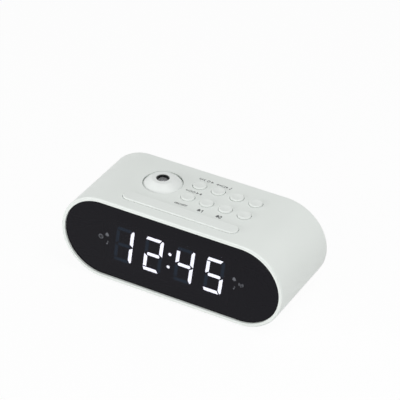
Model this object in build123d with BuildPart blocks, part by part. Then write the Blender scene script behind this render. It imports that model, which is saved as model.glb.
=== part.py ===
"""Projection alarm clock: a stadium-shaped tube with a smoked display window in front, keys, a snooze
bar and an eyeball projector in its top deck, and a screwed-on back and base.

Millimetres. X runs to the right as seen from the front, Y from front to back, and Z up. The origin is
under the middle of the case, on the surface that the feet stand on.
"""

import math
import os

from build123d import *

# ---------------------------------------------------------------- case
case_width = 178.0
case_height = 67.0
wall = 2.4
rim_width = 2.7
rim_round = 1.0
back_round = 1.2
cover_thickness = 2.2
cover_inset = 0.8
cover_fit = 0.2
foot_standoff = 1.5

# ---------------------------------------------------------------- window and display
window_recess = 1.3
window_thickness = 2.0
window_fit = 0.12
window_round = 0.4
carrier_thickness = 1.6
ledge_width = 2.0
ledge_thickness = 2.0
block_gap = 0.2
block_depth = 8.0
block_margin_x = 3.5
block_margin_z = 3.8
block_corner = 2.0
digit_height = 29.4
digit_width = 14.2
digit_slant = 6.6
digit_pitch = 23.9
colon_pitch = 25.0
colon_dot_radius = 1.2
colon_spread = 11.1
colon_shift = 0.4
display_shift = -2.1
display_drop = 1.2
segment_width = 2.6
segment_gap = 1.0
segment_end_cut = 1.0
segment_joint_reach = 1.9
segment_joint_run = 1.5
segment_blunt = 0.8
segment_depth = 0.8
segment_fit = 0.04
board_thickness = 1.6
display_board_margin = 4.0
display_board_edge = 2.5
display_post_x = 66.0
display_post_z = 13.0

# ---------------------------------------------------------------- eyeball projector
projector_x = -29.5
ball_radius = 18.5
ball_sink = 12.9
ball_rise = 3.85
ball_wall = 2.2
ball_crown = 2.0
ball_flat_round = 0.7
ball_gap = 0.4
ball_split = 3.0
ball_bottom = 13.0
well_lip = 1.1
skirt_wall = 1.0
trunnion_radius = 1.5
trunnion_length = 1.9
trunnion_fit = 0.06
yoke_wall = 2.4
yoke_height = 6.0
turn_gap = 0.3
socket_wall = 2.0
socket_floor = 1.6
lug_thickness = 2.0
lug_angles = (50, 138, 222)
spigot_height = 1.5
spigot_wall = 1.1
spigot_fit = 0.08
barrel_radius = 4.85
barrel_bore = 3.7
barrel_fit = 0.05
barrel_recess = 0.5
barrel_length = 19.5
barrel_foot_radius = 6.6
barrel_foot_height = 1.2
collar_wall = 1.4
collar_length = 5.0
lens_radius = 4.1
lens_edge = 0.9
lens_bulge = 0.9
lens_recess = 1.2
slide_size = 9.6
slide_thickness = 1.6
lamp_board_radius = 11.6
lamp_board_height = 9.0
lamp_radius = 1.9
lamp_height = 1.0
lead_hole_radius = 3.0
display_room = 5.0
socket_back_room = 1.7

# ---------------------------------------------------------------- keys and snooze bar
key_radius = 5.0
key_crown = 1.1
key_round = 0.8
key_dish_radius = 3.5
key_dish_depth = 0.3
key_gap = 0.3
key_flange_lip = 0.5
key_flange_thickness = 0.9
key_seat = 0.05
key_stem_radius = 1.5
key_travel = 0.5
key_pitch = 15.0
key_row_pitch = 17.1
key_rows_shift = 0.85
key_clear_of_well = 10.1
key_columns = 4
snooze_length = 91.3
snooze_width = 10.2
snooze_crown = 1.0
snooze_round = 0.8
snooze_from_front = 14.5
snooze_switch_x = 24.0
snooze_travel = 0.5
switch_size = 6.0
switch_body_height = 2.5
switch_plunger_radius = 1.7
switch_plunger_height = 0.6
key_board_thickness = 1.2
key_board_edge = 3.0
key_board_gap = 0.8

# ---------------------------------------------------------------- screws
screw_radius = 1.0
screw_head_radius = 2.1
screw_head_height = 1.3
screw_length = 5.0
screw_fit = 0.05
post_radius = 2.6
post_bite = 0.8

# ---------------------------------------------------------------- back: speaker, battery, power inlet
cover_screw_angle = 45.0
cover_post_radius = 3.2
cover_post_length = 12.0
counterbore_fit = 0.3
counterbore_depth = 1.2
speaker_radius = 22.5
speaker_from_end = 39.0
speaker_flange = 1.2
speaker_flange_width = 4.1
speaker_basket_depth = 9.0
speaker_basket_wall = 1.0
speaker_back_radius = 12.5
speaker_windows = 4
speaker_leg_width = 8.0
speaker_leg_angle = 45.0
speaker_fit = 0.3
speaker_ring_wall = 1.6
speaker_shelf = 2.5
speaker_shelf_width = 3.7
speaker_screw_angles = (90, 210, 330)
cone_thickness = 0.5
cone_depth = 6.5
cone_throat = 6.0
cap_height = 2.2
cap_round = 1.3
magnet_radius = 12.0
magnet_height = 6.5
grille_radius = 18.5
grille_slot = 2.0
grille_pitch = 3.6
grille_bar = 2.4
cell_radius = 5.25
cell_length = 44.5
cell_nub_radius = 1.9
cell_nub_length = 0.8
cell_gap = 0.3
contact_room = 2.2
contact_thickness = 0.4
contact_size = 7.0
contact_bump_radius = 2.3
contact_bump_height = 0.6
contact_bump_slope = 30.0
tray_wall = 1.2
tray_left = -53.5
tray_floor_gap = 1.6
door_thickness = 1.8
door_fit = 0.25
door_landing = 1.6
door_corner = 0.8
tongue_width = 7.0
tongue_reach = 2.2
tongue_thickness = 1.3
tongue_fit = 0.2
tongue_room = 3.4
tongue_spread = 28.0
latch_width = 9.0
latch_thickness = 1.2
latch_inset = 0.8
grip_count = 3
grip_pitch = 1.8
grip_width = 12.0
grip_thickness = 0.7
grip_height = 0.35
grip_inset = 2.6
jack_x = 9.5
jack_radius = 2.75
jack_collar_radius = 4.0
jack_pin_radius = 1.0
jack_body_width = 9.0
jack_body_height = 10.6
jack_body_length = 13.0
jack_bore_depth = 9.5
jack_pin_length = 8.5
aerial_hole_radius = 1.4
aerial_hole_rise = 12.0

# ---------------------------------------------------------------- base
base_length = 100.0
base_front_room = 9.0
base_tray_gap = 1.6
base_thickness = 1.5
base_fit = 0.2
base_corner = 4.0
base_ledge = 2.0
base_boss_radius = 3.2
base_boss_inset = 4.2
base_boss_height = 6.5
base_rib_height = 2.0
base_rib_width = 1.2
countersink_angle = 90.0
foot_radius = 5.0
foot_seat = 0.5
foot_round = 0.6
foot_x = 46.0
foot_inset_y = 8.5
main_board_side_margin = 10.0
main_board_margin = 4.2
main_board_lift = 5.0
main_board_tab = 17.0
main_post_inset = 4.0
chip_length = 14.0
chip_width = 10.0
chip_height = 1.6
capacitor_radius = 3.0
capacitor_height = 7.0
capacitor_pitch = 9.0
header_width = 14.0
header_depth = 4.0
header_height = 4.0
ribbon_width = 12.0
ribbon_thickness = 0.7
ribbon_x = 26.0
ribbon_bend = 5.0

# ---------------------------------------------------------------- what follows from the sizes above
window_back = window_recess + window_thickness
ledge_front = window_back + carrier_thickness
block_face = window_back + block_gap
board_front = block_face + block_depth
board_back = board_front + board_thickness
yoke_inner = ball_radius + ball_gap
yoke_outer = yoke_inner + yoke_wall
socket_inner = yoke_outer + turn_gap
socket_outer = socket_inner + socket_wall
projector_from_front = board_back + display_room + socket_outer
case_depth = (
    projector_from_front + socket_outer + socket_back_room + cover_thickness + cover_inset
)
cover_outer = case_depth - cover_inset
cover_inner = cover_outer - cover_thickness

tongue_outer = cover_inner - tongue_fit
cells_middle = tongue_outer - tongue_thickness - cell_gap - cell_radius
tray_back = cells_middle - cell_radius - cell_gap

front_y = -case_depth / 2
bottom_z = foot_standoff
top_z = bottom_z + case_height
middle_z = bottom_z + case_height / 2
projector_y = front_y + projector_from_front
ball_z = top_z - ball_sink
yoke_top_depth = ball_sink - yoke_height / 2
well_radius = math.sqrt((ball_radius + ball_gap) ** 2 - (ball_sink - well_lip) ** 2)
skirt_radius = yoke_inner + skirt_wall
lug_radius = socket_outer + post_radius + post_bite
pilot_radius = screw_radius + screw_fit

switch_height = switch_body_height + switch_plunger_height
deepest_press = max(key_travel, snooze_travel)
key_board_depth = (
    wall + key_seat + key_flange_thickness + deepest_press + switch_height + key_board_gap
)
speaker_x = case_width / 2 - speaker_from_end
first_key_x = projector_x + well_radius + key_clear_of_well
key_xs = [first_key_x + column * key_pitch for column in range(key_columns)]
key_ys = [
    projector_y + key_rows_shift - key_row_pitch / 2,
    projector_y + key_rows_shift + key_row_pitch / 2,
]
key_places = [(x, y) for y in key_ys for x in key_xs]
snooze_y = front_y + snooze_from_front
snooze_places = [(-snooze_switch_x / 2, snooze_y), (snooze_switch_x, snooze_y)]


def from_front(distance):
    """A plane that faces the viewer, this far behind the front rim, at mid height."""
    return Plane(origin=(0, front_y + distance, middle_z), x_dir=(1, 0, 0), z_dir=(0, -1, 0))


def below_deck(depth):
    """A level plane this far below the top face of the case."""
    return Plane.XY.offset(top_z - depth)


def above_base(height):
    """A level plane this far above the outer face of the case's bottom."""
    return Plane.XY.offset(bottom_z + height)


def around_projector(radius, angle):
    """A point on a circle about the projector's upright axis."""
    turn = math.radians(angle)
    return (projector_x + radius * math.cos(turn), projector_y + radius * math.sin(turn))


def stadium(inset):
    """The outline of the case's front view, drawn inwards by the inset."""
    SlotOverall(case_width - 2 * inset, case_height - 2 * inset)


def screws(places, length):
    """Pan-head screws. Each place is a plane under a head, and its normal points the way the head does."""
    with BuildPart() as group:
        for place in places:
            with BuildSketch(place):
                Circle(screw_head_radius)
            extrude(amount=screw_head_height)
            with BuildSketch(place):
                Circle(screw_radius)
            extrude(amount=-length)
    return group


def save(piece, name):
    """Labels a finished piece and writes it as its own STEP file."""
    piece.part.label = name
    export_step(piece.part, f"parts/{name}.step")


os.makedirs("parts", exist_ok=True)

# ================================================================ housing
cover_arc_x = (case_width - case_height) / 2
cover_post_reach = case_height / 2 - wall - cover_post_radius + post_bite
cover_post_turn = math.radians(cover_screw_angle)
cover_post_x = cover_arc_x + cover_post_reach * math.cos(cover_post_turn)
cover_post_z = cover_post_reach * math.sin(cover_post_turn)
base_front = ledge_front + ledge_thickness + base_front_room
base_back = tray_back - tray_wall - base_tray_gap
base_width = base_back - base_front
base_center_y = front_y + (base_front + base_back) / 2
foot_y = case_depth / 2 - foot_inset_y
foot_places = [(side * foot_x, end * foot_y) for side in (-1, 1) for end in (-1, 1)]
base_boss_x = base_length / 2 - base_boss_inset
base_boss_y = base_width / 2 - base_boss_inset

key_post_places = [
    ((key_xs[0] + key_xs[1]) / 2, sum(key_ys) / 2),
    ((key_xs[2] + key_xs[3]) / 2, sum(key_ys) / 2),
    (key_xs[3] + key_pitch / 2, (snooze_y + snooze_width / 2 + key_ys[0] - key_radius) / 2),
]
snooze_post_place = (-(snooze_length / 2) - post_radius - 2 * key_flange_lip, snooze_y)
key_post_places.append(snooze_post_place)

with BuildPart() as housing:
    with BuildSketch(from_front(0)):
        stadium(0)
    extrude(amount=-case_depth)
    front_edges = housing.edges().group_by(Axis.Y)[0]
    fillet(front_edges, rim_round)
    back_edges = housing.edges().group_by(Axis.Y)[-1]
    fillet(back_edges, back_round)
    with BuildSketch(from_front(0)):
        stadium(rim_width)
    extrude(amount=-ledge_front, mode=Mode.SUBTRACT)
    with BuildSketch(from_front(ledge_front)):
        stadium(rim_width + ledge_width)
    extrude(amount=-ledge_thickness, mode=Mode.SUBTRACT)
    with BuildSketch(from_front(ledge_front + ledge_thickness)):
        stadium(wall)
    extrude(amount=-case_depth, mode=Mode.SUBTRACT)
    # posts for the back cover, along the four corners of the end walls
    with BuildSketch(from_front(cover_inner)):
        with Locations(
            (cover_post_x, cover_post_z),
            (-cover_post_x, cover_post_z),
            (cover_post_x, -cover_post_z),
            (-cover_post_x, -cover_post_z),
        ):
            Circle(cover_post_radius)
            Circle(pilot_radius, mode=Mode.SUBTRACT)
    extrude(amount=cover_post_length)
    # skirt of the projector's well, and posts for its socket and for the key board
    with BuildSketch(below_deck(wall - post_bite)):
        with Locations((projector_x, projector_y)):
            Circle(skirt_radius)
    extrude(amount=-(yoke_top_depth - turn_gap - wall + post_bite))
    with BuildSketch(below_deck(wall - post_bite)):
        with Locations(*[around_projector(lug_radius, angle) for angle in lug_angles]):
            Circle(post_radius)
    extrude(amount=-(yoke_top_depth - wall + post_bite))
    with BuildSketch(below_deck(wall - post_bite)):
        with Locations(*key_post_places):
            Circle(post_radius)
    extrude(amount=-(key_board_depth - wall + post_bite))
    with BuildSketch(below_deck(yoke_top_depth)):
        with Locations(*[around_projector(lug_radius, angle) for angle in lug_angles]):
            Circle(pilot_radius)
    extrude(amount=screw_length, mode=Mode.SUBTRACT)
    with BuildSketch(below_deck(key_board_depth)):
        with Locations(*key_post_places):
            Circle(pilot_radius)
    extrude(amount=screw_length, mode=Mode.SUBTRACT)
    # the well itself: a straight lip, then a seat that follows the ball
    with BuildSketch(below_deck(0)):
        with Locations((projector_x, projector_y)):
            Circle(well_radius)
    extrude(amount=-well_lip, mode=Mode.SUBTRACT)
    with Locations((projector_x, projector_y, ball_z)):
        Sphere(ball_radius + ball_gap, mode=Mode.SUBTRACT)
    # holes of the keys and slot of the snooze bar
    with BuildSketch(below_deck(0)):
        with Locations(*key_places):
            Circle(key_radius + key_gap)
        with Locations((0, snooze_y)):
            SlotOverall(snooze_length + 2 * key_gap, snooze_width + 2 * key_gap)
    extrude(amount=-wall, mode=Mode.SUBTRACT)
    # shallow seats for the feet
    with BuildSketch(above_base(0)):
        with Locations(*foot_places):
            Circle(foot_radius + base_fit)
    extrude(amount=foot_seat, mode=Mode.SUBTRACT)
    # rebate and opening of the base, with a screw boss in each corner
    with BuildSketch(above_base(0)):
        with Locations((0, base_center_y)):
            RectangleRounded(base_length + 2 * base_fit, base_width + 2 * base_fit, base_corner)
    extrude(amount=base_thickness, mode=Mode.SUBTRACT)
    with BuildSketch(above_base(base_thickness)):
        with Locations((0, base_center_y)):
            RectangleRounded(base_length - 2 * base_ledge, base_width - 2 * base_ledge, base_corner)
    extrude(amount=wall, mode=Mode.SUBTRACT)
    with BuildSketch(above_base(base_thickness)):
        with Locations((0, base_center_y)):
            with GridLocations(2 * base_boss_x, 2 * base_boss_y, 2, 2):
                Circle(base_boss_radius)
                Circle(pilot_radius, mode=Mode.SUBTRACT)
    extrude(amount=base_boss_height)
save(housing, "housing")

# ================================================================ front window and display carrier
with BuildPart() as front_window:
    with BuildSketch(from_front(window_recess)):
        stadium(rim_width + window_fit)
    extrude(amount=-window_thickness)
    fillet(front_window.edges().group_by(Axis.Y)[0], window_round)
save(front_window, "front_window")

digit_xs = [
    display_shift - colon_pitch / 2 - digit_pitch,
    display_shift - colon_pitch / 2,
    display_shift + colon_pitch / 2,
    display_shift + colon_pitch / 2 + digit_pitch,
]
lean = math.tan(math.radians(digit_slant))
block_width = (
    digit_xs[3] - digit_xs[0] + digit_width + digit_height * lean + 2 * block_margin_x
)
block_height = digit_height + 2 * block_margin_z

with BuildPart() as display_carrier:
    with BuildSketch(from_front(window_back)):
        stadium(rim_width + window_fit)
        with Locations((display_shift, -display_drop)):
            RectangleRounded(
                block_width + 2 * window_fit,
                block_height + 2 * window_fit,
                block_corner + window_fit,
                mode=Mode.SUBTRACT,
            )
    extrude(amount=-carrier_thickness)
    with BuildSketch(from_front(ledge_front)):
        with GridLocations(2 * display_post_x, 2 * display_post_z, 2, 2):
            Circle(post_radius)
            Circle(pilot_radius, mode=Mode.SUBTRACT)
    extrude(amount=-(board_front - ledge_front))
save(display_carrier, "display_carrier")

# ================================================================ seven-segment display
half_width = digit_width / 2
half_height = digit_height / 2
inner_x = half_width - segment_width
inner_z = half_height - segment_width
middle_gap = segment_gap * math.sqrt(2) / 2
joint_gap = segment_gap * math.hypot(segment_joint_run, segment_width) / segment_width
joint_depth = (
    (segment_width - segment_joint_reach + joint_gap) * segment_width / segment_joint_run
)


def joint_x(depth):
    """Where the slanting joint at a digit's right corner ends the bar, at a depth below its outer edge."""
    return half_width - segment_joint_reach - segment_joint_run * depth / segment_width


upper_right = [
    (half_width, half_height - 2 * segment_blunt),
    (half_width - segment_blunt, half_height - segment_blunt),
    (joint_x(segment_blunt) + joint_gap, half_height - segment_blunt),
    (inner_x, half_height - joint_depth),
    (inner_x, segment_width / 2 + segment_gap),
    (half_width, segment_gap / 2),
]
top_bar = [
    (segment_end_cut - half_width, half_height),
    (joint_x(0), half_height),
    (joint_x(segment_width), inner_z),
    (-half_width, inner_z),
]
upper_left = [
    (-half_width, inner_z - segment_gap),
    (-inner_x, inner_z - segment_gap),
    (-inner_x, segment_width / 2 + segment_gap),
    (-half_width, segment_gap / 2),
]
middle_bar = [
    (segment_width / 2 + middle_gap - half_width, 0),
    (-inner_x, segment_width / 2),
    (inner_x, segment_width / 2),
    (half_width - segment_width / 2 - middle_gap, 0),
    (inner_x, -segment_width / 2),
    (-inner_x, -segment_width / 2),
]


def turned_over(outline):
    """The same outline in the lower half of the digit."""
    return [(x, -z) for x, z in outline]


segments = {
    "top": top_bar,
    "upper_right": upper_right,
    "lower_right": turned_over(upper_right),
    "bottom": turned_over(top_bar),
    "lower_left": turned_over(upper_left),
    "upper_left": upper_left,
    "middle": middle_bar,
}
lit_names = {
    "one": ("upper_right", "lower_right"),
    "two": ("top", "upper_right", "middle", "lower_left", "bottom"),
    "four": ("upper_left", "upper_right", "middle", "lower_right"),
    "five": ("top", "upper_left", "middle", "lower_right", "bottom"),
}
time_shown = ("one", "two", "four", "five")


def draw_segments(wanted, swell):
    """Draws the slanted segments of the four digits for which wanted(digit, name) is true."""
    for digit, digit_x in zip(time_shown, digit_xs):
        for name, outline in segments.items():
            if wanted(digit, name):
                with BuildSketch(mode=Mode.PRIVATE) as segment:
                    with BuildLine():
                        Polyline(
                            *[(digit_x + x + z * lean, z - display_drop) for x, z in outline],
                            close=True,
                        )
                    make_face()
                    if swell:
                        offset(amount=swell, kind=Kind.INTERSECTION)
                add(segment.sketch)


def draw_colon(swell):
    """Draws the two dots between the hours and the minutes, on the slant of the digits."""
    dot_z = colon_spread / 2
    colon_x = display_shift + colon_shift
    with Locations(
        (colon_x + dot_z * lean, dot_z - display_drop),
        (colon_x - dot_z * lean, -dot_z - display_drop),
    ):
        Circle(colon_dot_radius + swell)


def is_lit(digit, name):
    return name in lit_names[digit]


def is_unlit(digit, name):
    return name not in lit_names[digit]


with BuildPart() as digit_block:
    with BuildSketch(from_front(block_face)):
        with Locations((display_shift, -display_drop)):
            RectangleRounded(block_width, block_height, block_corner)
    extrude(amount=-block_depth)
    with BuildSketch(from_front(block_face)):
        draw_segments(lambda digit, name: True, segment_fit)
        draw_colon(segment_fit)
    extrude(amount=-segment_depth, mode=Mode.SUBTRACT)
save(digit_block, "digit_block")

with BuildPart() as lit_segments:
    with BuildSketch(from_front(block_face)):
        draw_segments(is_lit, 0)
        draw_colon(0)
    extrude(amount=-segment_depth)
save(lit_segments, "lit_segments")

with BuildPart() as unlit_segments:
    with BuildSketch(from_front(block_face)):
        draw_segments(is_unlit, 0)
    extrude(amount=-segment_depth)
save(unlit_segments, "unlit_segments")

display_board_length = 2 * (display_post_x + display_board_margin)
display_board_height = block_height + 2 * display_board_edge
with BuildPart() as display_board:
    with BuildSketch(from_front(board_front)):
        Rectangle(display_board_length, display_board_height)
        with GridLocations(2 * display_post_x, 2 * display_post_z, 2, 2):
            Circle(pilot_radius, mode=Mode.SUBTRACT)
    extrude(amount=-board_thickness)
save(display_board, "display_board")

board_plane = from_front(board_back)
display_screw_places = [
    Plane(
        origin=(side * display_post_x, board_plane.origin.Y, middle_z + level * display_post_z),
        x_dir=(1, 0, 0),
        z_dir=(0, 1, 0),
    )
    for side in (-1, 1)
    for level in (-1, 1)
]
save(screws(display_screw_places, screw_length), "display_screws")

# ================================================================ keys and snooze bar
flange_top_depth = wall + key_seat
flange_bottom_depth = flange_top_depth + key_flange_thickness


def key_cap(x, y):
    """A round cap with a dished top, a flange that stops under the deck, and a stem to its switch."""
    stem_bottom_depth = key_board_depth - switch_height - key_travel - key_seat
    dish_ball = (key_dish_radius**2 + key_dish_depth**2) / (2 * key_dish_depth)
    with BuildPart() as key:
        with BuildSketch(below_deck(-key_crown)):
            with Locations((x, y)):
                Circle(key_radius)
        extrude(amount=-(key_crown + flange_bottom_depth))
        fillet(key.edges().group_by(Axis.Z)[-1], key_round)
        with BuildSketch(below_deck(flange_top_depth)):
            with Locations((x, y)):
                Circle(key_radius + key_gap + key_flange_lip)
        extrude(amount=-key_flange_thickness)
        with BuildSketch(below_deck(flange_bottom_depth)):
            with Locations((x, y)):
                Circle(key_stem_radius)
        extrude(amount=-(stem_bottom_depth - flange_bottom_depth))
        with Locations((x, y, top_z + key_crown - key_dish_depth + dish_ball)):
            Sphere(dish_ball, mode=Mode.SUBTRACT)
    return key


for row_name, key_y in zip(("front", "back"), key_ys):
    for column, key_x in enumerate(key_xs, start=1):
        save(key_cap(key_x, key_y), f"key_{row_name}_{column}")

with BuildPart() as snooze_bar:
    with BuildSketch(below_deck(-snooze_crown)):
        with Locations((0, snooze_y)):
            SlotOverall(snooze_length, snooze_width)
    extrude(amount=-(snooze_crown + flange_bottom_depth))
    fillet(snooze_bar.edges().group_by(Axis.Z)[-1], snooze_round)
    flange_spread = 2 * (key_gap + key_flange_lip)
    with BuildSketch(below_deck(flange_top_depth)):
        with Locations((0, snooze_y)):
            SlotOverall(snooze_length + flange_spread, snooze_width + flange_spread)
    extrude(amount=-key_flange_thickness)
    snooze_stem = (
        key_board_depth - switch_height - snooze_travel - key_seat - flange_bottom_depth
    )
    with BuildSketch(below_deck(flange_bottom_depth)):
        with Locations(*snooze_places):
            Circle(key_stem_radius)
    extrude(amount=-snooze_stem)
save(snooze_bar, "snooze_bar")

board_left = key_xs[0] - switch_size / 2 - key_board_edge
board_right = key_post_places[2][0] + post_radius + key_board_edge / 2
board_near = snooze_y - switch_size / 2 - key_board_edge
board_far = key_ys[1] + switch_size / 2 + key_board_edge
strip_left = snooze_post_place[0] - post_radius - key_board_edge / 2
strip_far = snooze_y + switch_size / 2 + key_board_edge

with BuildPart() as key_board:
    with BuildSketch(below_deck(key_board_depth)):
        with BuildLine():
            Polyline(
                (strip_left, board_near),
                (board_right, board_near),
                (board_right, board_far),
                (board_left, board_far),
                (board_left, strip_far),
                (strip_left, strip_far),
                close=True,
            )
        make_face()
        with Locations((projector_x, projector_y)):
            Circle(skirt_radius + key_gap, mode=Mode.SUBTRACT)
        with Locations(*key_post_places):
            Circle(pilot_radius, mode=Mode.SUBTRACT)
    extrude(amount=-key_board_thickness)
save(key_board, "key_board")

with BuildPart() as tact_switches:
    with BuildSketch(below_deck(key_board_depth)):
        with Locations(*key_places, *snooze_places):
            Rectangle(switch_size, switch_size)
    extrude(amount=switch_body_height)
    with BuildSketch(below_deck(key_board_depth - switch_body_height)):
        with Locations(*key_places, *snooze_places):
            Circle(switch_plunger_radius)
    extrude(amount=switch_plunger_height)
save(tact_switches, "tact_switches")

key_screw_depth = key_board_depth + key_board_thickness
key_screw_places = [
    Plane(origin=(x, y, top_z - key_screw_depth), x_dir=(1, 0, 0), z_dir=(0, 0, -1))
    for x, y in key_post_places
]
save(screws(key_screw_places, screw_length), "key_board_screws")

# ================================================================ eyeball projector
projector_axis = Axis((projector_x, projector_y, 0), (0, 0, 1))
ball_center = (projector_x, projector_y, ball_z)
flat_z = ball_sink + ball_rise
ball_inner = ball_radius - ball_wall
collar_bore = barrel_radius + barrel_fit
collar_outer = collar_bore + collar_wall
ceiling_z = flat_z - ball_crown


def projector_section():
    """The half plane through the projector's axis: x is the radius, y the height over the ball's centre."""
    return Plane(origin=ball_center, x_dir=(1, 0, 0), z_dir=(0, -1, 0))


def circle_x(radius, height):
    """How far from the axis a circle about the ball's centre is at this height."""
    return math.sqrt(radius**2 - height**2)


def arc_between(radius, start_height, end_height):
    """An arc about the ball's centre, from one height to another, on the outer side of the axis."""
    start_angle = math.degrees(math.asin(start_height / radius))
    end_angle = math.degrees(math.asin(end_height / radius))
    return CenterArc((0, 0), radius, start_angle, end_angle - start_angle)


with BuildPart() as projector_ball:
    with BuildSketch(projector_section()):
        with BuildLine():
            arc_between(ball_radius, -ball_split, flat_z)
            Polyline(
                (circle_x(ball_radius, flat_z), flat_z),
                (collar_bore, flat_z),
                (collar_bore, flat_z - collar_length),
                (collar_outer, flat_z - collar_length),
                (collar_outer, ceiling_z),
                (circle_x(ball_inner, ceiling_z), ceiling_z),
            )
            arc_between(ball_inner, -ball_split, ceiling_z)
            Line(
                (circle_x(ball_inner, -ball_split), -ball_split),
                (circle_x(ball_radius, -ball_split), -ball_split),
            )
        make_face()
    revolve(axis=projector_axis)
    flat_edges = projector_ball.edges().filter_by(GeomType.CIRCLE).group_by(Axis.Z)[-1]
    fillet(flat_edges.sort_by(SortBy.LENGTH)[-1], ball_flat_round)
    for side in (-1, 1):
        pin_root = Plane(
            origin=(projector_x + side * (ball_radius - ball_wall / 2), projector_y, ball_z),
            x_dir=(0, 1, 0),
            z_dir=(side, 0, 0),
        )
        with BuildSketch(pin_root):
            Circle(trunnion_radius)
        extrude(amount=ball_wall / 2 + ball_gap + trunnion_length)
save(projector_ball, "projector_ball")

lamp_board_top = -lamp_board_height
lamp_board_bottom = lamp_board_top - key_board_thickness
shell_floor = ball_bottom - ball_wall
spigot_radius = circle_x(ball_inner, ball_split) - spigot_fit
with BuildPart() as projector_underside:
    with BuildSketch(projector_section()):
        with BuildLine():
            arc_between(ball_radius, -ball_bottom, -ball_split)
            Polyline(
                (circle_x(ball_radius, ball_split), -ball_split),
                (spigot_radius, -ball_split),
                (spigot_radius, spigot_height - ball_split),
                (spigot_radius - spigot_wall, spigot_height - ball_split),
                (spigot_radius - spigot_wall, lamp_board_top + spigot_height),
                (lamp_board_radius + barrel_fit, lamp_board_top),
                (lamp_board_radius + barrel_fit, lamp_board_bottom),
                (lamp_board_radius - ball_wall / 2, lamp_board_bottom),
                (lamp_board_radius - ball_wall / 2, -shell_floor),
                (lead_hole_radius, -shell_floor),
                (lead_hole_radius, -ball_bottom),
                (circle_x(ball_radius, ball_bottom), -ball_bottom),
            )
        make_face()
    revolve(axis=projector_axis)
save(projector_underside, "projector_underside")

barrel_top = flat_z - barrel_recess
barrel_bottom = barrel_top - barrel_length
lens_seat = barrel_top - lens_recess - lens_edge
with BuildPart() as lens_barrel:
    with BuildSketch(projector_section()):
        with BuildLine():
            Polyline(
                (barrel_bore, barrel_bottom),
                (barrel_foot_radius, barrel_bottom),
                (barrel_foot_radius, barrel_bottom + barrel_foot_height),
                (barrel_radius, barrel_bottom + barrel_foot_height),
                (barrel_radius, barrel_top),
                (lens_radius + barrel_fit, barrel_top),
                (lens_radius + barrel_fit, lens_seat),
                (barrel_bore, lens_seat),
                close=True,
            )
        make_face()
    revolve(axis=projector_axis)
save(lens_barrel, "lens_barrel")

with BuildPart() as projector_lens:
    lens_ball = (lens_radius**2 + lens_bulge**2) / (2 * lens_bulge)
    with BuildSketch(Plane.XY.offset(ball_z + lens_seat)):
        with Locations((projector_x, projector_y)):
            Circle(lens_radius)
    extrude(amount=lens_edge + lens_bulge)
    lens_top = ball_z + lens_seat + lens_edge + lens_bulge
    with Locations((projector_x, projector_y, lens_top - lens_ball)):
        Sphere(lens_ball, mode=Mode.INTERSECT)
save(projector_lens, "projector_lens")

with BuildPart() as time_slide:
    with BuildSketch(Plane.XY.offset(ball_z + barrel_bottom)):
        with Locations((projector_x, projector_y)):
            Rectangle(slide_size, slide_size)
    extrude(amount=-slide_thickness)
save(time_slide, "time_slide")

with BuildPart() as lamp_board:
    with BuildSketch(Plane.XY.offset(ball_z + lamp_board_top)):
        with Locations((projector_x, projector_y)):
            Circle(lamp_board_radius)
    extrude(amount=-key_board_thickness)
save(lamp_board, "lamp_board")

with BuildPart() as projector_lamp:
    with BuildSketch(Plane.XY.offset(ball_z + lamp_board_top)):
        with Locations((projector_x, projector_y)):
            Circle(lamp_radius)
    extrude(amount=lamp_height)
    with Locations((projector_x, projector_y, ball_z + lamp_board_top + lamp_height)):
        Sphere(lamp_radius, arc_size1=0)
save(projector_lamp, "projector_lamp")

yoke_bottom_depth = ball_sink + yoke_height / 2
slot_radius = trunnion_radius + trunnion_fit
with BuildPart() as projector_yoke:
    with BuildSketch(below_deck(yoke_top_depth)):
        with Locations((projector_x, projector_y)):
            Circle(yoke_outer)
            Circle(yoke_inner, mode=Mode.SUBTRACT)
    extrude(amount=-yoke_height)
    # open-topped slots that the ball's two pins drop into
    with BuildSketch(Plane(origin=ball_center, x_dir=(0, 1, 0), z_dir=(1, 0, 0))):
        Circle(slot_radius)
        with Locations((0, yoke_height / 2)):
            Rectangle(2 * slot_radius, yoke_height)
    extrude(amount=yoke_outer + wall, both=True, mode=Mode.SUBTRACT)
save(projector_yoke, "projector_yoke")

floor_top_depth = yoke_bottom_depth + turn_gap
floor_bottom_depth = floor_top_depth + socket_floor
with BuildPart() as projector_socket:
    with BuildSketch(below_deck(yoke_top_depth)):
        with Locations((projector_x, projector_y)):
            Circle(socket_outer)
    extrude(amount=-(floor_bottom_depth - yoke_top_depth))
    for angle in lug_angles:
        lug_point = around_projector(lug_radius, angle)
        web_point = around_projector((lug_radius + socket_inner) / 2, angle)
        with BuildSketch(below_deck(yoke_top_depth)):
            SlotCenterPoint(web_point, lug_point, 2 * post_radius)
        extrude(amount=-lug_thickness)
    with BuildSketch(below_deck(yoke_top_depth)):
        with Locations((projector_x, projector_y)):
            Circle(socket_inner)
    extrude(amount=-(floor_top_depth - yoke_top_depth), mode=Mode.SUBTRACT)
    with BuildSketch(below_deck(yoke_top_depth)):
        with Locations((projector_x, projector_y)):
            Circle(yoke_inner)
        with Locations(*[around_projector(lug_radius, angle) for angle in lug_angles]):
            Circle(pilot_radius)
    extrude(amount=-(floor_bottom_depth - yoke_top_depth), mode=Mode.SUBTRACT)
save(projector_socket, "projector_socket")

socket_screw_places = []
for angle in lug_angles:
    lug_x, lug_y = around_projector(lug_radius, angle)
    lug_under = top_z - yoke_top_depth - lug_thickness
    socket_screw_places.append(
        Plane(origin=(lug_x, lug_y, lug_under), x_dir=(1, 0, 0), z_dir=(0, 0, -1))
    )
save(screws(socket_screw_places, screw_length), "socket_screws")

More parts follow.
